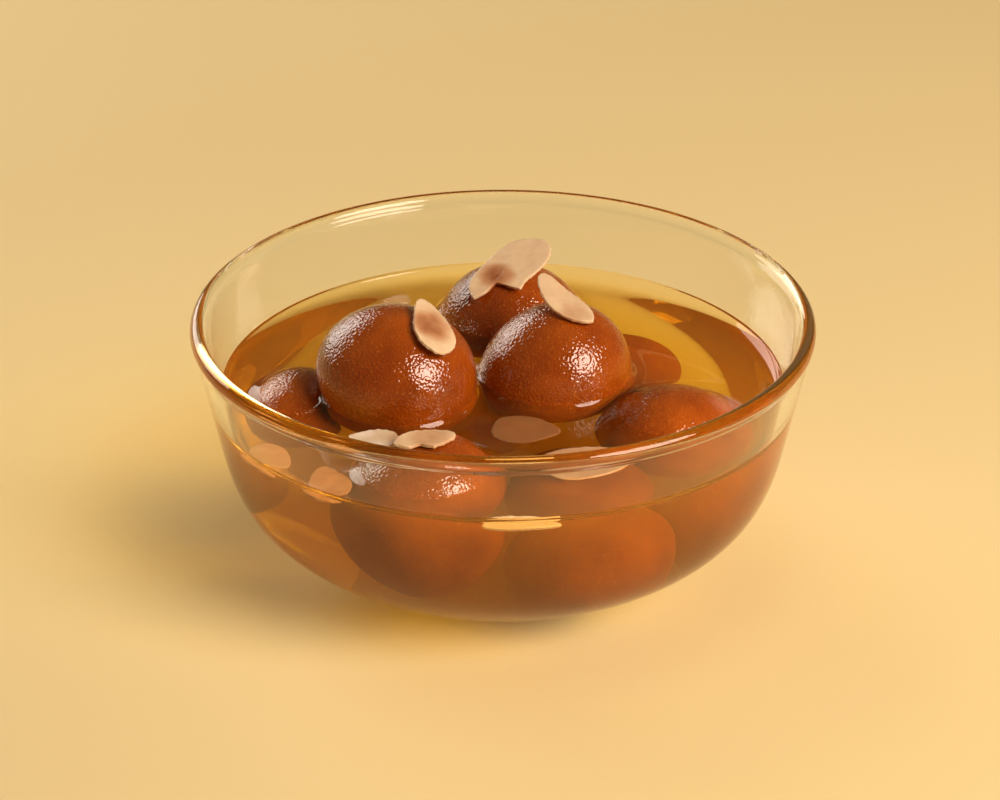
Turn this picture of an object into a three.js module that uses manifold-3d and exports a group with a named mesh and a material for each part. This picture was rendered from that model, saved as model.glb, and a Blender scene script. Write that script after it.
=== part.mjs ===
// Gulab jamun in a clear glass bowl: soft fried milk balls lying in sugar syrup, strewn with sliced almonds.
// Millimetres, +Z up. The origin is the bottom centre of the bowl, and the dish faces -Y.

import * as THREE from 'three';
import { mergeVertices } from 'three/addons/utils/BufferGeometryUtils.js';
import Module from 'manifold-3d';

// Bowl: a pressed glass mixing bowl of about one litre.
const RIM_RADIUS = 85; // outermost radius, at the rolled rim
const BOWL_HEIGHT = 72.9;
const BEAD_HALF = [2.1, 2.5]; // the rolled rim is an upright oval bead: half its thickness and height
const BEAD_SPAN = [-55, 167]; // directions in degrees, from the outside's flare to the inside
const FOOT_RADIUS = 35; // flat base that it stands on
const FLARE_START = [77.2, 38.1]; // radius and height where the curved side turns into the straight flare
const FLARE_PULL = [73, 19.3]; // control points of the curved side
const FOOT_PULL = [64.9, 11.2];
const WALL = 3.8; // glass thickness at the side
const FLOOR = 5.2; // glass thickness under the syrup
const FLOOR_EASE = 0.4; // the inner side wall starts this far above the floor
const BOWL_SIDES = 64;
const CURVE_STEPS = 10; // steps along the curved side
const BEAD_STEPS = 6;

// Syrup
const SYRUP_LEVEL = 50;
const GAP = 0.3; // clearance between pieces that touch
const PRESS_GAP = 0.4; // clearance between two balls that press on each other

// Balls: centre, half sizes along x, y and z before leaning, lean about y in degrees (right side down).
const BALL_DETAIL = 4;
const BUMP = 0.35; // height of the slow unevenness of a hand-rolled ball
const SOFTNESS = 0.5; // how gently a ball rounds over into a pressed flat
const FLAT_FACING = 0.2; // a flat shapes only the directions that face it by more than this cosine
const BALLS = [
  { name: 'ball_front_top', at: [-28.9, -5.5, 57.5], half: [22.6, 22, 19.5], lean: 8, seed: 1 },
  { name: 'ball_middle', at: [14.4, 7.4, 51.5], half: [21.9, 20.9, 20.2], lean: -45, seed: 2 },
  { name: 'ball_back', at: [2.6, 46.8, 45.4], half: [21.5, 20.6, 20.6], lean: 0, seed: 3 },
  { name: 'ball_left', at: [-55.8, -2.4, 41.2], half: [15.8, 19.2, 15], lean: -14, seed: 4 },
  { name: 'ball_front_low', at: [-20.2, -47.2, 40.8], half: [21, 20.5, 19.2], lean: 0, seed: 5 },
  { name: 'ball_right', at: [46.5, -14, 38], half: [21.6, 21, 19.2], lean: 0, seed: 6 },
];

// Sliced almonds. One on a ball touches it at the direction `on` from the ball's centre, and its middle
// lies `slide` further along its length. One afloat gives the place of its middle, and `face` if it tilts.
// A negative taper points the other end, and `bend` bows a slice in its plane. `broken` lists the corners of
// a broken edge, which takes the place of the outline on the -y side from the -x end to the last corner.
const ALMOND_THICK = 0.9;
const ALMOND_POINTS = 20; // points round the outline
const ALMOND_TAPER = 0.26; // how much narrower the pointed end is than the blunt one
const ALMOND_RAGGED = [0.03, 0.02]; // slow and quick raggedness of the edge
const ALMOND_WAVE = 0.25; // height of the waviness that drying gives a slice
const ALMONDS = [
  { name: 'almond_front_top', ball: 0, on: [0.48, -0.27, 0.83], along: [0.2, -0.86, -0.42],
    length: 21, width: 11.5, slide: -0.5, curl: 0.002, taper: -ALMOND_TAPER, seed: 11 },
  { name: 'almond_back', ball: 2, on: [-0.18, -0.27, 0.95], along: [0.7, 0.5, 0.5],
    length: 28, width: 15, slide: 3.4, curl: -0.001, taper: -0.4,
    broken: [[-14.6, -2.4], [-10.6, -3.4], [-6.2, -2.2], [-3.2, -9.6]], seed: 12 },
  { name: 'almond_middle', ball: 1, on: [0.25, -0.22, 0.93], along: [-0.56, 0.68, 0.28],
    length: 22.5, width: 9.2, slide: 6.8, curl: -0.004, bend: -0.016, seed: 13 },
  { name: 'almond_pair_left', ball: 4, on: [-0.33, -0.11, 0.94], along: [-0.78, 0.6, -0.28],
    length: 16, width: 8, slide: 9.4, curl: 0, seed: 14 },
  { name: 'almond_pair_right', ball: 4, on: [0.02, -0.1, 0.99], along: [0.95, 0.3, 0],
    length: 17, width: 8.5, slide: -0.6, curl: 0.003,
    broken: [[-5.5, -2.8], [-2.2, -1.8], [1, -4.2]], seed: 15 },
  { name: 'almond_afloat_middle', at: [5.9, -22, 49], along: [1, -0.1, 0],
    length: 18.8, width: 15.5, curl: 0, seed: 16 },
  { name: 'almond_afloat_right', at: [22.5, -40.2, 49.7], along: [0.96, 0.28, 0],
    length: 26, width: 15.5, curl: 0, seed: 17 },
  { name: 'almond_afloat_left', at: [-60.7, -36, 49.3], along: [0.5, -0.87, 0],
    length: 15.5, width: 9.5, curl: 0, seed: 18 },
  { name: 'almond_afloat_near', at: [-45.1, -50.4, 49.3], along: [-0.22, 0.97, 0],
    length: 17.5, width: 10.8, curl: 0, seed: 19 },
  { name: 'almond_afloat_front', at: [5, -73.2, 49.7], along: [1, 0, 0], face: [0, -0.5, 0.87],
    length: 20.5, width: 4, curl: 0, seed: 20 },
];

const MERGE_DISTANCE = 1e-4;

const wasm = await Module();
wasm.setup();

// A repeatable random number between 0 and 1 for each seed and index.
function draw(seed, index) {
  const x = Math.sin(seed * 127.1 + index * 311.7) * 43758.5453;
  return x - Math.floor(x);
}

function standard(color, roughness, extra = {}) {
  return new THREE.MeshStandardMaterial({ color, roughness, metalness: 0, ...extra });
}

// Positions only, with shared vertices joined.
function joined(geometry) {
  const bare = geometry.clone();
  bare.deleteAttribute('normal');
  bare.deleteAttribute('uv');
  return mergeVertices(bare, MERGE_DISTANCE);
}

function toSolid(geometry) {
  const shared = joined(geometry);
  return new wasm.Manifold(new wasm.Mesh({
    numProp: 3,
    vertProperties: new Float32Array(shared.attributes.position.array),
    triVerts: new Uint32Array(shared.index.array),
  }));
}

function toGeometry(solid) {
  const mesh = solid.getMesh();
  const geometry = new THREE.BufferGeometry();
  geometry.setAttribute('position', new THREE.BufferAttribute(new Float32Array(mesh.vertProperties), 3));
  geometry.setIndex(new THREE.BufferAttribute(new Uint32Array(mesh.triVerts), 1));
  geometry.computeVertexNormals();
  return geometry;
}

// --- Bowl -------------------------------------------------------------------------------------------

// Outside of the side wall from the foot to just under the rim: a curve that runs on as a straight flare.
const beadCentre = new THREE.Vector2(RIM_RADIUS - BEAD_HALF[0], BOWL_HEIGHT - BEAD_HALF[1]);
const flareStart = new THREE.Vector2(...FLARE_START);
const flarePull = new THREE.Vector2(...FLARE_PULL);
const sideCurve = new THREE.CubicBezierCurve(
  new THREE.Vector2(FOOT_RADIUS, 0), new THREE.Vector2(...FOOT_PULL), flarePull, flareStart);
const flareDirection = flareStart.clone().sub(flarePull).normalize();
const outward = new THREE.Vector2(flareDirection.y, -flareDirection.x);

// Points round the bead, from where the flare runs into its outside to where its inside ends.
function beadPoints() {
  const points = [];
  for (let i = 0; i <= BEAD_STEPS; i += 1) {
    const angle = THREE.MathUtils.degToRad(THREE.MathUtils.lerp(...BEAD_SPAN, i / BEAD_STEPS));
    const onBead = new THREE.Vector2(BEAD_HALF[0] * Math.cos(angle), BEAD_HALF[1] * Math.sin(angle));
    points.push(onBead.add(beadCentre));
  }
  return points;
}

// The inside follows the outside at the glass thickness, which eases from the floor's to the wall's.
function innerWall(extra = 0) {
  const points = [];
  for (let i = 0; i <= CURVE_STEPS; i += 1) {
    const u = i / CURVE_STEPS;
    const tangent = sideCurve.getTangentAt(u);
    const thickness = THREE.MathUtils.lerp(FLOOR, WALL, Math.min(1, u * 2)) + extra;
    const point = sideCurve.getPointAt(u);
    points.push(new THREE.Vector2(point.x - tangent.y * thickness, point.y + tangent.x * thickness));
  }
  return points.filter((p) => p.y > FLOOR + extra + FLOOR_EASE);
}

function turned(points) {
  const geometry = new THREE.LatheGeometry(points, BOWL_SIDES);
  geometry.rotateX(Math.PI / 2);
  return joined(geometry);
}

function bowlGeometry() {
  return turned([
    new THREE.Vector2(0, 0),
    ...sideCurve.getSpacedPoints(CURVE_STEPS),
    ...beadPoints(),
    ...innerWall().reverse(),
    new THREE.Vector2(0, FLOOR),
  ]);
}

// --- Balls ------------------------------------------------------------------------------------------

const leanOf = (ball) => new THREE.Matrix4().makeRotationY(THREE.MathUtils.degToRad(ball.lean));

// Distance from a ball's centre to its bare ellipsoid in one direction.
function ellipsoidReach(ball, direction) {
  const local = direction.clone().applyMatrix4(leanOf(ball).invert());
  return 1 / Math.hypot(local.x / ball.half[0], local.y / ball.half[1], local.z / ball.half[2]);
}

// Flats where soft balls press on each other: each is a plane across the line between two centres.
function pressedFlats(ball) {
  const centre = new THREE.Vector3(...ball.at);
  const flats = [];
  for (const other of BALLS) {
    if (other === ball) continue;
    const away = new THREE.Vector3(...other.at).sub(centre);
    const distance = away.length();
    const normal = away.divideScalar(distance);
    const mine = ellipsoidReach(ball, normal);
    const theirs = ellipsoidReach(other, normal.clone().negate());
    const overlap = mine + theirs - distance;
    if (overlap > -2 * BUMP - PRESS_GAP) flats.push({ normal, depth: mine - (overlap + PRESS_GAP) / 2 });
  }
  return flats;
}

// Slow dents and swells that a ball gets from rolling by hand and from frying.
function unevenness(seed, d) {
  const wave = (first, x, y) => {
    const [quick, slow, start] = [0, 1, 2].map((i) => draw(seed, first + i));
    return Math.sin(x * (2 + quick) + y * (1 + 2 * slow) + 2 * Math.PI * start);
  };
  return BUMP * (wave(1, d.x, d.y) + wave(4, d.y, d.z) + wave(7, d.z, d.x)) / 2;
}

function ballReach(ball, flats, direction) {
  let reach = ellipsoidReach(ball, direction) + unevenness(ball.seed, direction);
  for (const flat of flats) {
    const facing = direction.dot(flat.normal);
    if (facing < FLAT_FACING) continue;
    const toFlat = flat.depth / facing;
    reach = -SOFTNESS * Math.log(Math.exp(-reach / SOFTNESS) + Math.exp(-toFlat / SOFTNESS));
  }
  return reach;
}

function ballGeometry(ball, extra = 0) {
  const geometry = joined(new THREE.IcosahedronGeometry(1, BALL_DETAIL));
  const flats = pressedFlats(ball);
  const position = geometry.attributes.position;
  const direction = new THREE.Vector3();
  for (let i = 0; i < position.count; i += 1) {
    direction.fromBufferAttribute(position, i).normalize();
    direction.multiplyScalar(ballReach(ball, flats, direction) + extra);
    position.setXYZ(i, direction.x, direction.y, direction.z);
  }
  return geometry;
}

// --- Sliced almonds ---------------------------------------------------------------------------------

// Outline of a slice: pointed at one end, blunt at the other, a little ragged.
function almondOutline(almond) {
  const { taper = ALMOND_TAPER, bend = 0, broken = [] } = almond;
  const [slow, quick] = ALMOND_RAGGED;
  const start = 2 * Math.PI * draw(almond.seed, 1);
  const brokenTo = broken.at(-1)?.[0] ?? -Infinity;
  const near = [];
  const far = [];
  for (let i = 0; i < ALMOND_POINTS; i += 1) {
    const angle = 2 * Math.PI * i / ALMOND_POINTS;
    const along = Math.cos(angle);
    const ragged = 1 + slow * Math.sin(3 * angle + start) + quick * Math.sin(5 * angle + 2 * start);
    const x = almond.length / 2 * along * ragged;
    const y = almond.width / 2 * Math.sin(angle) * (1 - taper * along) * ragged + bend * x * x;
    if (angle <= Math.PI) near.push([x, y]);
    else if (x > brokenTo) far.push([x, y]);
  }
  return [...near, ...broken, ...far];
}

// Thin wavy slice with both faces split alike: a middle point and rings of points out to the edge.
// It can be grown by `extra` at its edge and lower face, and by `above` at its upper face.
function almondGeometry(almond, extra = 0, above = 0) {
  const rings = [0.5, 1];
  const outline = almondOutline(almond);
  const count = outline.length;
  const grow = 1 + 2 * extra / almond.width;
  const positions = [];
  const wave = (x, y) => -almond.curl * x * x
    + ALMOND_WAVE * Math.sin(0.35 * x + almond.seed) * Math.sin(0.5 * y + 2 * almond.seed);
  for (const side of [1, -1]) {
    const half = side * ALMOND_THICK / 2 + (side > 0 ? above : -extra);
    positions.push(0, 0, wave(0, 0) + half);
    for (const ring of rings) {
      for (const point of outline) {
        const [x, y] = point.map((length) => length * ring * grow);
        positions.push(x, y, wave(x, y) + half);
      }
    }
  }
  const perFace = 1 + rings.length * count;
  const index = [];
  const face = (a, b, c, side) => {
    const offset = side > 0 ? 0 : perFace;
    index.push(a + offset, (side > 0 ? b : c) + offset, (side > 0 ? c : b) + offset);
  };
  for (let i = 0; i < count; i += 1) {
    const next = (i + 1) % count;
    const inner = [1 + i, 1 + next];
    const outer = [1 + count + i, 1 + count + next];
    for (const side of [1, -1]) {
      face(0, inner[0], inner[1], side);
      face(inner[0], outer[0], outer[1], side);
      face(inner[0], outer[1], inner[1], side);
    }
    index.push(outer[0], outer[0] + perFace, outer[1] + perFace);
    index.push(outer[0], outer[1] + perFace, outer[1]);
  }
  const geometry = new THREE.BufferGeometry();
  geometry.setAttribute('position', new THREE.BufferAttribute(new Float32Array(positions), 3));
  geometry.setIndex(index);
  return geometry;
}

// Where a slice lies: its length, width and face directions and its middle.
function almondPlace(almond) {
  const along = new THREE.Vector3(...almond.along);
  const up = new THREE.Vector3(0, 0, 1);
  const middle = new THREE.Vector3();
  if (almond.ball === undefined) {
    middle.set(...almond.at);
    if (almond.face) up.set(...almond.face).normalize();
  } else {
    const ball = BALLS[almond.ball];
    const flats = pressedFlats(ball);
    const direction = new THREE.Vector3(...almond.on).normalize();
    const lean = leanOf(ball);
    const local = direction.clone().applyMatrix4(lean.clone().invert());
    up.set(local.x / ball.half[0] ** 2, local.y / ball.half[1] ** 2, local.z / ball.half[2] ** 2)
      .normalize().applyMatrix4(lean);
    middle.set(...ball.at).addScaledVector(direction, ballReach(ball, flats, direction));
    middle.addScaledVector(up, ALMOND_THICK / 2 + GAP);
  }
  along.addScaledVector(up, -along.dot(up)).normalize();
  const across = new THREE.Vector3().crossVectors(up, along);
  if (almond.slide) middle.addScaledVector(along, almond.slide);
  return new THREE.Matrix4().makeBasis(along, across, up).setPosition(middle);
}

// --- Syrup ------------------------------------------------------------------------------------------

// Fills the bowl to its level, cut round every ball and every slice that dips into it.
function syrupGeometry() {
  const wall = innerWall(GAP);
  const below = wall.filter((p) => p.y < SYRUP_LEVEL);
  const innerEdge = beadPoints().at(-1).addScaledVector(outward, -GAP);
  const above = wall.find((p) => p.y >= SYRUP_LEVEL) ?? innerEdge;
  const last = below[below.length - 1];
  const rise = (SYRUP_LEVEL - last.y) / (above.y - last.y);
  const edge = new THREE.Vector2(THREE.MathUtils.lerp(last.x, above.x, rise), SYRUP_LEVEL);
  let solid = toSolid(turned([
    new THREE.Vector2(0, FLOOR + GAP), ...below, edge, new THREE.Vector2(0, SYRUP_LEVEL),
  ]));
  for (const ball of BALLS) {
    const cut = ballGeometry(ball, GAP).translate(...ball.at);
    solid = solid.subtract(toSolid(cut));
  }
  for (const almond of ALMONDS) {
    if (almond.ball !== undefined) continue;
    const cut = almondGeometry(almond, GAP, 3 * ALMOND_THICK).applyMatrix4(almondPlace(almond));
    solid = solid.subtract(toSolid(cut));
  }
  return toGeometry(solid);
}

// --- The dish ---------------------------------------------------------------------------------------

const glass = standard(0xdfe6dc, 0.05, { transparent: true, opacity: 0.3 });
const syrup = standard(0xc98a2c, 0.1, { transparent: true, opacity: 0.6 });
const friedDough = standard(0x8a3d12, 0.35);
const almondFlesh = standard(0xe6cfa8, 0.5);

const dish = new THREE.Group();

function addPiece(name, geometry, material) {
  const mesh = new THREE.Mesh(geometry, material);
  mesh.name = name;
  dish.add(mesh);
  return mesh;
}

addPiece('bowl', bowlGeometry(), glass);
addPiece('syrup', syrupGeometry(), syrup);

for (const ball of BALLS) {
  addPiece(ball.name, ballGeometry(ball), friedDough).position.set(...ball.at);
}

for (const almond of ALMONDS) {
  const mesh = addPiece(almond.name, almondGeometry(almond), almondFlesh);
  almondPlace(almond).decompose(mesh.position, mesh.quaternion, mesh.scale);
}

export default dish;
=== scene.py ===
import math

import bmesh
import bpy
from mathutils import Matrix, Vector, noise
from mathutils.bvhtree import BVHTree
from mathutils.geometry import interpolate_bezier
from mathutils.kdtree import KDTree


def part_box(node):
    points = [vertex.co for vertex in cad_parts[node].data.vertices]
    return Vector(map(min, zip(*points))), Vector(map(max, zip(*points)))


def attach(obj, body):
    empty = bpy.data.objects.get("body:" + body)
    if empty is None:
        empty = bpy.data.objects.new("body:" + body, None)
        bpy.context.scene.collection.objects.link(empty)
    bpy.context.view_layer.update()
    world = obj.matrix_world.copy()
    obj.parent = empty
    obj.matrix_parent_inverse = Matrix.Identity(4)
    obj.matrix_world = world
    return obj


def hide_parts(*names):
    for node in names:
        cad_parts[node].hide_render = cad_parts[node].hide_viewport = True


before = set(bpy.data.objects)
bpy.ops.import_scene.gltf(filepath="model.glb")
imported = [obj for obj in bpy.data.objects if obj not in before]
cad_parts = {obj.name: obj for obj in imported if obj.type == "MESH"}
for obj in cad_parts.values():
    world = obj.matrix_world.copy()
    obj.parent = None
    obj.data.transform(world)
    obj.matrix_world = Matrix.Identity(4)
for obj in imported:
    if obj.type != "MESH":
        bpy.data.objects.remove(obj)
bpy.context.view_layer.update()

# ----------------------------------------------------------------------------------------------------
# Bowl: clear soda-lime glass, pressed in a mould and fire polished, so that every edge is round and
# the rim is a thick bead. It is one turned shape, with a plain flat base that it stands on.
# ----------------------------------------------------------------------------------------------------
MM = 0.001
MERGE = 0.01 * MM
bowl_high = Vector(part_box("bowl")[1])
BEAD_HALF = Vector((2.1, 2.5)) * MM  # the rim's upright oval bead: half its thickness and height
BEAD_CENTRE = Vector((bowl_high.x, bowl_high.z)) - BEAD_HALF
BEAD_FROM, BEAD_TO = math.radians(-55), math.radians(167)  # from the outside's flare to the inside
FOOT = Vector((35, 0)) * MM  # radius and height of each point of the side's curve
FOOT_PULL = Vector((64.9, 11.2)) * MM
FLARE_PULL = Vector((73, 19.3)) * MM
FLARE_START = Vector((77.2, 38.1)) * MM
WALL = 3.8 * MM
FLOOR = 5.2 * MM
THINNED = 0.5  # the glass thins from the floor's thickness to the wall's over this share of the side
FLOOR_EASE = 0.3 * MM  # the inner side starts this far above the floor
SYRUP_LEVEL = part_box("syrup")[1][2]
CURL_HEIGHT = 3.0 * MM  # how far the syrup climbs an upright side that it wets
WET_HEIGHT = SYRUP_LEVEL + CURL_HEIGHT
NEAR_BEAD = 0.98  # the flare stays straight up to this share of its way to the bead
SIDE_STEPS = 44
BEAD_STEPS = 18
BOWL_SIDES = 224


def side_wall(depth):
    """Points from the foot up to the flare, at a depth of 0 (outside) to 1 (inside) in the glass."""
    outside = interpolate_bezier(FOOT, FOOT_PULL, FLARE_PULL, FLARE_START, SIDE_STEPS)
    outside = [Vector(point) for point in outside]
    points = []
    for i, point in enumerate(outside):
        along = outside[min(i + 1, SIDE_STEPS - 1)] - outside[max(i - 1, 0)]
        along.normalize()
        glass = FLOOR + (WALL - FLOOR) * min(1, i / (THINNED * SIDE_STEPS))
        points.append(point + Vector((-along.y, along.x)) * glass * depth)
    return points


def turned(profile, sides):
    """A closed shape, spun round the upright axis from points of radius and height."""
    shell = bmesh.new()
    corners = [shell.verts.new((point[0], 0, point[1])) for point in profile]
    edges = [shell.edges.new(pair) for pair in zip(corners, corners[1:])]
    bmesh.ops.spin(shell, geom=corners + edges, cent=(0, 0, 0), axis=(0, 0, 1), angle=math.tau,
                   steps=sides, use_merge=True)
    bmesh.ops.remove_doubles(shell, verts=shell.verts, dist=MERGE)
    bmesh.ops.recalc_face_normals(shell, faces=shell.faces)
    return shell


def linear(hex_colour):
    """An sRGB hex colour such as "8c4a1e" as the linear colour that shaders take."""
    channels = [int(hex_colour[i:i + 2], 16) / 255 for i in (0, 2, 4)]
    return [c / 12.92 if c <= 0.04045 else ((c + 0.055) / 1.055) ** 2.4 for c in channels] + [1]


def add_node(material, kind, inputs=None, **settings):
    """Adds a shader node. An input is given a value, or another node's output to link to."""
    node = material.node_tree.nodes.new(kind)
    for name, value in settings.items():
        setattr(node, name, value)
    for name, value in (inputs or {}).items():
        if isinstance(value, bpy.types.NodeSocket):
            material.node_tree.links.new(value, node.inputs[name])
        else:
            node.inputs[name].default_value = value
    return node


def new_material(name):
    """An empty material, and the node that its surface and volume go to."""
    material = bpy.data.materials.new(name)
    material.use_nodes = True
    material.node_tree.nodes.clear()
    return material, add_node(material, "ShaderNodeOutputMaterial")


def set_output(material, output, shader, socket="Surface"):
    """Makes a shader node the material's surface or volume."""
    material.node_tree.links.new(shader.outputs[0], output.inputs[socket])


def finish_piece(name, shell, materials, slot, *nodes):
    """Turns a bmesh into a smooth piece of the dish that stands for the named CAD nodes."""
    mesh = bpy.data.meshes.new(name)
    shell.to_mesh(mesh)
    shell.free()
    mesh.shade_smooth()
    for material in materials:
        mesh.materials.append(material)
    piece = bpy.data.objects.new(name, mesh)
    bpy.context.collection.objects.link(piece)
    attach(piece, "root")
    if nodes:
        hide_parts(*nodes)
    return piece


def clear_material(name, ior, colour):
    """A perfectly smooth clear material, its body node and its output node. It lets the light of lamps
    straight through, because a renderer finds no path for bent light to what lies inside."""
    material, output = new_material(name)
    body = add_node(material, "ShaderNodeBsdfPrincipled", {
        "Base Color": linear(colour), "Roughness": 0.0, "IOR": ior, "Transmission Weight": 1.0})
    open_to_lamps = add_node(material, "ShaderNodeBsdfTransparent", {"Color": linear(colour)})
    from_lamp = add_node(material, "ShaderNodeLightPath").outputs["Is Shadow Ray"]
    set_output(material, output, add_node(material, "ShaderNodeMixShader", {
        0: from_lamp, 1: body.outputs[0], 2: open_to_lamps.outputs[0]}))
    return material, body, output


# Fire-polished glass: all but colourless, so only its edges and reflections show. Where syrup wets it,
# light hardly bends between the two, so there the index is that of glass divided by that of syrup.
GLASS_INDEX = 1.5
SYRUP_INDEX = 1.45
GLASS_TINT = "fbfdf8"
glass = clear_material("soda_lime_glass", GLASS_INDEX, GLASS_TINT)[0]
wetted_glass = clear_material("syrup_wetted_glass", GLASS_INDEX / SYRUP_INDEX, GLASS_TINT)[0]

bead = []
for i in range(BEAD_STEPS + 1):
    angle = BEAD_FROM + (BEAD_TO - BEAD_FROM) * i / BEAD_STEPS
    bead.append(BEAD_CENTRE + BEAD_HALF * Vector((math.cos(angle), math.sin(angle))))

outer_side = side_wall(0)
inner_side = [point for point in side_wall(1) if point.y > FLOOR + FLOOR_EASE]
to_wet_line = (WET_HEIGHT - inner_side[-1].y) / (bead[-1].y - inner_side[-1].y)
wet_line = inner_side[-1].lerp(bead[-1], to_wet_line)
outer_flare_end = outer_side[-1].lerp(bead[0], NEAR_BEAD)
inner_flare_end = inner_side[-1].lerp(bead[-1], NEAR_BEAD)
outside_and_rim = [Vector((0, 0)), *outer_side, outer_flare_end, *bead]
inside = [inner_flare_end, wet_line, *reversed(inner_side), Vector((0, FLOOR))]
bowl = turned(outside_and_rim + inside, BOWL_SIDES)
for face in bowl.faces:
    if face.normal.z > 0 and face.calc_center_median().z < WET_HEIGHT:
        face.material_index = 1
finish_piece("glass_bowl", bowl, [glass, wetted_glass], "glass", "bowl")


# ----------------------------------------------------------------------------------------------------
# Balls: soft milk dough rolled by hand, deep fried until brown and soaked in syrup. The crust is
# finely wrinkled like soaked skin, and a film of syrup makes it shine.
# ----------------------------------------------------------------------------------------------------
BALLS = ("ball_front_top", "ball_middle", "ball_back", "ball_left", "ball_front_low", "ball_right")
BALL_ROUNDING = 3
RIPPLE_WIDTH, RIPPLE_HEIGHT = 2.6 * MM, 0.07 * MM
WRINKLE_WIDTH, WRINKLE_HEIGHT = 1.3 * MM, 0.035 * MM
WRINKLE_SHIFT = Vector((7, 3, 5))  # keeps the wrinkles apart from the ripples
BLOTCH_WIDTH = 14 * MM
FLECK_WIDTH = 0.7 * MM
THREAD_WIDTH = 0.7 * MM
LIGHT_DEPTH = 2.5 * MM  # how far red light goes into the dough
FILM_OVERLAP = 0.3 * MM  # the film on a ball goes on this far under the syrup's edge


def cad_cage(node):
    """A copy of a CAD node's mesh with its loose triangles merged."""
    cage = bmesh.new()
    cage.from_mesh(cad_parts[node].data)
    bmesh.ops.remove_doubles(cage, verts=cage.verts, dist=MERGE)
    return cage


def rounded(cage, levels):
    """The cage's skin subdivided smooth, which uses the cage up."""
    mesh = bpy.data.meshes.new("cage")
    cage.to_mesh(mesh)
    cage.free()
    holder = bpy.data.objects.new("holder", mesh)
    bpy.context.collection.objects.link(holder)
    modifier = holder.modifiers.new("round", "SUBSURF")
    modifier.levels = modifier.render_levels = levels
    skin = bmesh.new()
    skin.from_object(holder, bpy.context.evaluated_depsgraph_get())
    bpy.data.objects.remove(holder)
    bpy.data.meshes.remove(mesh)
    return skin


def wrinkle(skin):
    """Gives a ball's skin the ripples and fine wrinkles of a soaked fried crust."""
    skin.normal_update()
    for vert in skin.verts:
        ripple = noise.noise(vert.co / RIPPLE_WIDTH) * RIPPLE_HEIGHT
        crease = (0.5 - abs(noise.noise(vert.co / WRINKLE_WIDTH + WRINKLE_SHIFT))) * WRINKLE_HEIGHT
        vert.co += vert.normal * (ripple + crease)


def climb(normal):
    """How far the syrup climbs a side that faces this way: less up a flat one, more up an overhang."""
    return CURL_HEIGHT * math.sqrt(1 - normal.z)


def dough_material(name, dark, light, film, thread_height):
    """Fried milk dough: an opaque brown crust with paler flecks of milk solids, which light enters a
    little. Its film of syrup gives hard highlights that the wrinkles break into short bright threads."""
    dough, output = new_material(name)
    place = add_node(dough, "ShaderNodeTexCoord").outputs["Object"]
    blotches = add_node(dough, "ShaderNodeTexNoise", {
        "Vector": place, "Scale": 1 / BLOTCH_WIDTH, "Detail": 3.0})
    crust = add_node(dough, "ShaderNodeValToRGB", {"Fac": blotches.outputs["Fac"]})
    crust.color_ramp.elements[0].position = 0.3
    crust.color_ramp.elements[0].color = linear(dark)
    crust.color_ramp.elements[1].position = 0.7
    crust.color_ramp.elements[1].color = linear(light)
    flecks = add_node(dough, "ShaderNodeTexNoise", {
        "Vector": place, "Scale": 1 / FLECK_WIDTH, "Detail": 2.0})
    fleck_mask = add_node(dough, "ShaderNodeMapRange", {
        "Value": flecks.outputs["Fac"], "From Min": 0.6, "From Max": 0.78, "To Max": 0.6})
    colour = add_node(dough, "ShaderNodeMix", {
        "Factor": fleck_mask.outputs["Result"], "A": crust.outputs["Color"], "B": linear("c97a26")},
        data_type="RGBA")
    threads = add_node(dough, "ShaderNodeTexNoise", {
        "Vector": place, "Scale": 1 / THREAD_WIDTH, "Detail": 0.0})
    bump = add_node(dough, "ShaderNodeBump", {
        "Height": threads.outputs["Fac"], "Strength": 1.0, "Distance": thread_height})
    set_output(dough, output, add_node(dough, "ShaderNodeBsdfPrincipled", {
        "Base Color": colour.outputs["Result"], "Normal": bump.outputs["Normal"],
        "Roughness": 0.6, "IOR": 1.4, "Specular IOR Level": 0.0,
        "Subsurface Weight": 0.2, "Subsurface Radius": (1.0, 0.35, 0.12), "Subsurface Scale": LIGHT_DEPTH,
        "Coat Weight": film, "Coat Roughness": 0.02, "Coat IOR": 1.65,
        "Coat Normal": bump.outputs["Normal"]}))
    return dough


# No film shows under the syrup, and hardly any wrinkles. The crust there is painted darker than the dry
# crust, as painted shade for the dough under the syrup.
filmed_dough = dough_material("fried_milk_dough", "843606", "a64f0e", 1.0, 0.2 * MM)
soaked_dough_painted_darker = dough_material("milk_dough_in_syrup_painted_darker", "763605", "924c0c", 0.0, 0.08 * MM)

waterline_solids = []
for node in BALLS:
    skin = rounded(cad_cage(node), BALL_ROUNDING)
    waterline_solids.append(BVHTree.FromBMesh(skin))
    wrinkle(skin)
    for face in skin.faces:
        in_syrup = SYRUP_LEVEL + climb(face.normal) - FILM_OVERLAP
        face.material_index = int(face.calc_center_median().z < in_syrup)
    finish_piece("fried_" + node, skin, [filmed_dough, soaked_dough_painted_darker], "fried_dough", node)

# Balls wholly sunk in the syrup: middle, and half sizes across and upright, in millimetres.
SUNK_BALLS = {
    "sunk_ball_right": ((31.5, 30, 28.5), (18.3, 18.3)),
    "sunk_ball_front": ((20, -41, 28.7), (20, 18.5)),
    "sunk_ball_middle": ((-8, 3, 22.5), (17, 17)),
}
SUNK_FACETS = 6
for name, (middle, (across, upright)) in SUNK_BALLS.items():
    skin = bmesh.new()
    bmesh.ops.create_icosphere(skin, subdivisions=SUNK_FACETS, radius=1)
    bmesh.ops.scale(skin, verts=skin.verts, vec=(across * MM, across * MM, upright * MM))
    bmesh.ops.translate(skin, verts=skin.verts, vec=Vector(middle) * MM)
    wrinkle(skin)
    finish_piece(name, skin, [soaked_dough_painted_darker], "fried_dough")


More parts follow.
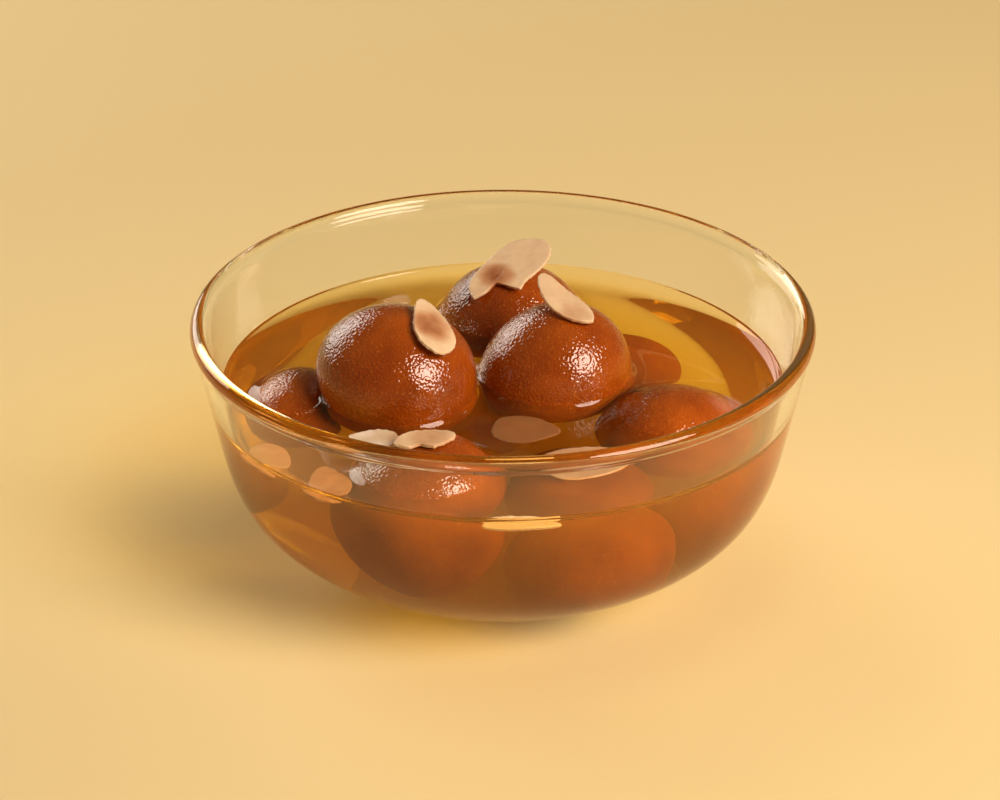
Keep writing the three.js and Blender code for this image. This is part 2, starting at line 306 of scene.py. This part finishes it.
# ----------------------------------------------------------------------------------------------------
# Syrup: sugar boiled with water to a thin golden syrup, poured over the hot balls. It wets the glass
# and the crusts, so its still surface curls up wherever it meets them.
# ----------------------------------------------------------------------------------------------------
INTO_GLASS = 0.15 * MM  # the syrup reaches this far into the wall, so that no air shows between
CURL_REACH = 1.8 * MM
MOST_CLIMB = 1.2 * CURL_HEIGHT
SURFACE_STEP = 0.5 * MM
SYRUP_SIDES = 480
ABSORPTION, SCATTERING = 66.0, 17.0  # per metre of syrup

syrup_side = [point for point in side_wall(1 - INTO_GLASS / WALL) if FLOOR < point.y < SYRUP_LEVEL]
edge_radius = wet_line.x + INTO_GLASS
rings = round(edge_radius / SURFACE_STEP)
surface = [Vector((edge_radius * (1 - i / rings), SYRUP_LEVEL)) for i in range(rings + 1)]
floor_centre = Vector((0, FLOOR - INTO_GLASS))
syrup = turned([floor_centre, *syrup_side, *surface], SYRUP_SIDES)
for vert in syrup.verts:
    if vert.co.z < SYRUP_LEVEL - MERGE:
        continue
    to_wall = (edge_radius - math.hypot(vert.co.x, vert.co.y)) / CURL_REACH
    rise = CURL_HEIGHT * math.exp(-to_wall)
    for solid in waterline_solids:
        height = climb(solid.find_nearest(vert.co)[1])
        wetted = vert.co + Vector((0, 0, height))
        touch, normal, _, gap = solid.find_nearest(wetted)
        outside = (wetted - touch).dot(normal) > 0
        rise += height * (math.exp(-gap / CURL_REACH) if outside else 1)
    vert.co.z += min(rise, MOST_CLIMB)

# Sugar syrup: clear, and golden where it is thin, deep amber where light crosses a lot of it. Its side
# lies in the glass, whose wetted face already bends the light, so the side itself bends none. The index
# is a value on each face, because a body of liquid has to be of one material all round.
sugar_syrup, liquid, syrup_output = clear_material("golden_sugar_syrup", SYRUP_INDEX, "fcf0cc")
face_index = add_node(sugar_syrup, "ShaderNodeAttribute", attribute_name="refractive_index")
sugar_syrup.node_tree.links.new(face_index.outputs["Fac"], liquid.inputs["IOR"])
absorb = add_node(sugar_syrup, "ShaderNodeVolumeAbsorption", {
    "Color": linear("fae600"), "Density": ABSORPTION})
haze = add_node(sugar_syrup, "ShaderNodeVolumeScatter", {
    "Color": linear("ffc868"), "Density": SCATTERING, "Anisotropy": 0.3})
both = add_node(sugar_syrup, "ShaderNodeAddShader", {0: absorb.outputs[0], 1: haze.outputs[0]})
set_output(sugar_syrup, syrup_output, both, "Volume")
refractive_index = syrup.faces.layers.float.new("refractive_index")
for face in syrup.faces:
    at_glass = face.calc_center_median().z < SYRUP_LEVEL - MERGE
    face[refractive_index] = 1.0 if at_glass else SYRUP_INDEX
finish_piece("sugar_syrup", syrup, [sugar_syrup], "syrup", "syrup")


# ----------------------------------------------------------------------------------------------------
# Almonds: blanched kernels cut lengthwise into thin slices and strewn over the finished dish. The edge
# of a slice is opaque cream, and its flesh turns brown where syrup soaks it on a ball or afloat. Where a
# slice lies on a ball, the ball's brown is also painted into it, as painted see-through of the thin
# flesh.
# ----------------------------------------------------------------------------------------------------
ALMOND_ROUNDING = 3
SHARP_ANGLE = math.radians(50)
EDGE_CREASE = 0.75
EDGE_STEPS = 8  # points along each edge of the outline that distances are measured from
RAGGED_WIDTH, RAGGED_HEIGHT = 1.1 * MM, 0.35 * MM
GRAIN_WIDTH, GRAIN_HEIGHT = 3 * MM, 0.12 * MM
UNEVEN_SOAK = 0.3  # how much the soaking varies with the flesh's grain
FLESH_LIGHT_DEPTH = 1.2 * MM
FLESH_BY_SOAK_AND_PAINTED_SEE_THROUGH = ((0.05, "ead0ac"), (0.45, "c8966c"), (0.75, "96532e"), (1.0, "8a6652"))

# Almond flesh: pale, waxy and smooth from the blade. Syrup that soaks in makes it darker and browner.
# Where a slice lies on a ball it is darker still, partly from soaking and partly as painted see-through:
# the ball's brown painted into the flesh, as light through the thin slice would show it.
almond, almond_output = new_material("sliced_almond")
soak_and_painted_see_through = add_node(almond, "ShaderNodeAttribute", attribute_name="soak_and_painted_see_through").outputs["Fac"]
place = add_node(almond, "ShaderNodeTexCoord").outputs["Object"]
grain = add_node(almond, "ShaderNodeTexNoise", {"Vector": place, "Scale": 1 / GRAIN_WIDTH, "Detail": 4.0})
uneven = add_node(almond, "ShaderNodeMath", {
    0: grain.outputs["Fac"], 1: UNEVEN_SOAK, 2: -UNEVEN_SOAK / 2}, operation="MULTIPLY_ADD")
depth = add_node(almond, "ShaderNodeMath", {0: soak_and_painted_see_through, 1: uneven.outputs[0]}, operation="ADD")
flesh = add_node(almond, "ShaderNodeValToRGB", {"Fac": depth.outputs[0]})
stops = flesh.color_ramp.elements
for i, (position, colour) in enumerate(FLESH_BY_SOAK_AND_PAINTED_SEE_THROUGH):
    stop = stops[i] if i < len(stops) else stops.new(position)
    stop.position = position
    stop.color = linear(colour)
flesh_bump = add_node(almond, "ShaderNodeBump", {
    "Height": grain.outputs["Fac"], "Strength": 0.6, "Distance": GRAIN_HEIGHT})
set_output(almond, almond_output, add_node(almond, "ShaderNodeBsdfPrincipled", {
    "Base Color": flesh.outputs["Color"], "Normal": flesh_bump.outputs["Normal"],
    "Roughness": 0.25, "IOR": 1.45,
    "Subsurface Weight": 0.3, "Subsurface Radius": (1.0, 0.7, 0.4),
    "Subsurface Scale": FLESH_LIGHT_DEPTH}))

# How dark the flesh of each slice is, from 0 to 1: where it stands clear, from soaking, and where it
# lies on a ball, from soaking together with the ball's brown painted in as painted see-through.
SOAK_AND_PAINTED_SEE_THROUGH = {
    "almond_front_top": (0.08, 0.62),
    "almond_back": (0.08, 0.72),
    "almond_middle": (0.12, 0.35),
    "almond_pair_left": (0.1, 0.3),
    "almond_pair_right": (0.15, 0.35),
    "almond_afloat_middle": (1.0, 1.0),
    "almond_afloat_right": (0.4, 0.45),
    "almond_afloat_left": (0.5, 0.5),
    "almond_afloat_near": (0.58, 0.58),
    "almond_afloat_front": (0.25, 0.25),
}
SLICE = 0.9 * MM
CONTACT_GAP = 0.5 * MM  # a slice this near to a ball is soaked by it and has the ball's brown painted into it
CLEAR_GAP = 1.5 * MM  # and from this far it stands clear
for node, (clear_soak, contact_soak_and_painted_see_through) in SOAK_AND_PAINTED_SEE_THROUGH.items():
    cage = cad_cage(node)
    crease = cage.edges.layers.float.new("crease_edge")
    outline = [edge for edge in cage.edges if edge.calc_face_angle() > SHARP_ANGLE]
    tree = KDTree(len(outline) * EDGE_STEPS)
    for edge in outline:
        edge[crease] = EDGE_CREASE
        for i in range(EDGE_STEPS):
            tree.insert(edge.verts[0].co.lerp(edge.verts[1].co, i / EDGE_STEPS), i)
    tree.balance()
    middle = sum((vert.co for vert in cage.verts), Vector()) / len(cage.verts)
    slice_skin = rounded(cage, ALMOND_ROUNDING)
    slice_skin.normal_update()
    layer = slice_skin.verts.layers.float.new("soak_and_painted_see_through")
    for vert in slice_skin.verts:
        touch, normal, _, gap = min((solid.find_nearest(vert.co) for solid in waterline_solids),
                                    key=lambda found: found[3])
        if vert.normal.dot(normal) > 0:
            gap -= SLICE
        # Near a ball the flesh darkens: partly soaking, and partly painted see-through, the ball's brown
        # painted into the thin slice.
        contact = max(0, min(1, (CLEAR_GAP - gap) / (CLEAR_GAP - CONTACT_GAP)))
        contact = contact * contact * (3 - 2 * contact)
        vert[layer] = clear_soak + (contact_soak_and_painted_see_through - clear_soak) * contact
        near_edge = max(0, 1 - tree.find(vert.co)[2] / RAGGED_WIDTH)
        ragged = noise.noise(vert.co / RAGGED_WIDTH) * RAGGED_HEIGHT * near_edge
        vert.co += (vert.co - middle).normalized() * ragged
    finish_piece("sliced_" + node, slice_skin, [almond], "almond", node)


# ----------------------------------------------------------------------------------------------------
# Stage: a plain pale floor, a large soft light at the front right and a lower one at the back left,
# and a camera that looks down on the dish.
# ----------------------------------------------------------------------------------------------------
FLOOR_HALF = 3.0
FLOOR_DROP = 0.1 * MM

floor_mesh = bmesh.new()
bmesh.ops.create_grid(floor_mesh, x_segments=1, y_segments=1, size=FLOOR_HALF)
bmesh.ops.translate(floor_mesh, verts=floor_mesh.verts, vec=(0, 0, -FLOOR_DROP))
mesh = bpy.data.meshes.new("floor")
floor_mesh.to_mesh(mesh)
floor_mesh.free()
floor = bpy.data.objects.new("floor", mesh)
bpy.context.collection.objects.link(floor)
paper, paper_output = new_material("pale_paper")
set_output(paper, paper_output, add_node(paper, "ShaderNodeBsdfPrincipled", {
    "Base Color": linear("f2dfa6"), "Roughness": 0.8}))
mesh.materials.append(paper)

DISH_MIDDLE = Vector((0, 0, 50 * MM))
LIGHT_DISTANCE = 1.2


def soft_light(name, shape, azimuth, elevation, size, colour, power):
    """A soft light aimed at the dish. Azimuth 0 is the camera's side, and 90 the right."""
    azimuth, elevation = math.radians(azimuth), math.radians(elevation)
    towards = Vector((math.sin(azimuth) * math.cos(elevation), -math.cos(azimuth) * math.cos(elevation),
                      math.sin(elevation)))
    light = bpy.data.lights.new(name, "AREA")
    light.shape = shape
    light.size, light.size_y = size
    light.color = linear(colour)[:3]
    light.energy = power
    lamp = bpy.data.objects.new(name, light)
    lamp.location = DISH_MIDDLE + towards * LIGHT_DISTANCE
    lamp.rotation_euler = towards.to_track_quat("Z", "Y").to_euler()
    bpy.context.collection.objects.link(lamp)


soft_light("key_light", "DISK", 54, 35, (0.75, 0.75), "ffe6d0", 19)
soft_light("back_light", "ELLIPSE", -140, 20, (0.95, 0.7), "fff0e2", 7)

world = bpy.data.worlds.new("studio")
world.use_nodes = True
surroundings = world.node_tree.nodes["Background"]
surroundings.inputs["Color"].default_value = linear("f3d79f")
surroundings.inputs["Strength"].default_value = 0.15
bpy.context.scene.world = world

CAMERA_AIM = Vector((-0.8, 3.0, 46)) * MM
CAMERA_DISTANCE = 1.4
CAMERA_PITCH = math.radians(26.74)
towards_camera = Vector((0, -math.cos(CAMERA_PITCH), math.sin(CAMERA_PITCH)))
camera = bpy.data.objects.new("camera", bpy.data.cameras.new("camera"))
camera.data.lens = 183.9
camera.data.sensor_width = 36
camera.location = CAMERA_AIM + towards_camera * CAMERA_DISTANCE
camera.rotation_euler = (math.pi / 2 - CAMERA_PITCH, 0, 0)
bpy.context.collection.objects.link(camera)
bpy.context.scene.camera = camera
bpy.context.scene.view_settings.view_transform = "Standard"

# Light crosses glass and syrup many times before it leaves the dish.
bpy.context.scene.cycles.max_bounces = 32
bpy.context.scene.cycles.transmission_bounces = 32
bpy.context.scene.cycles.glossy_bounces = 16
bpy.context.scene.cycles.volume_bounces = 4
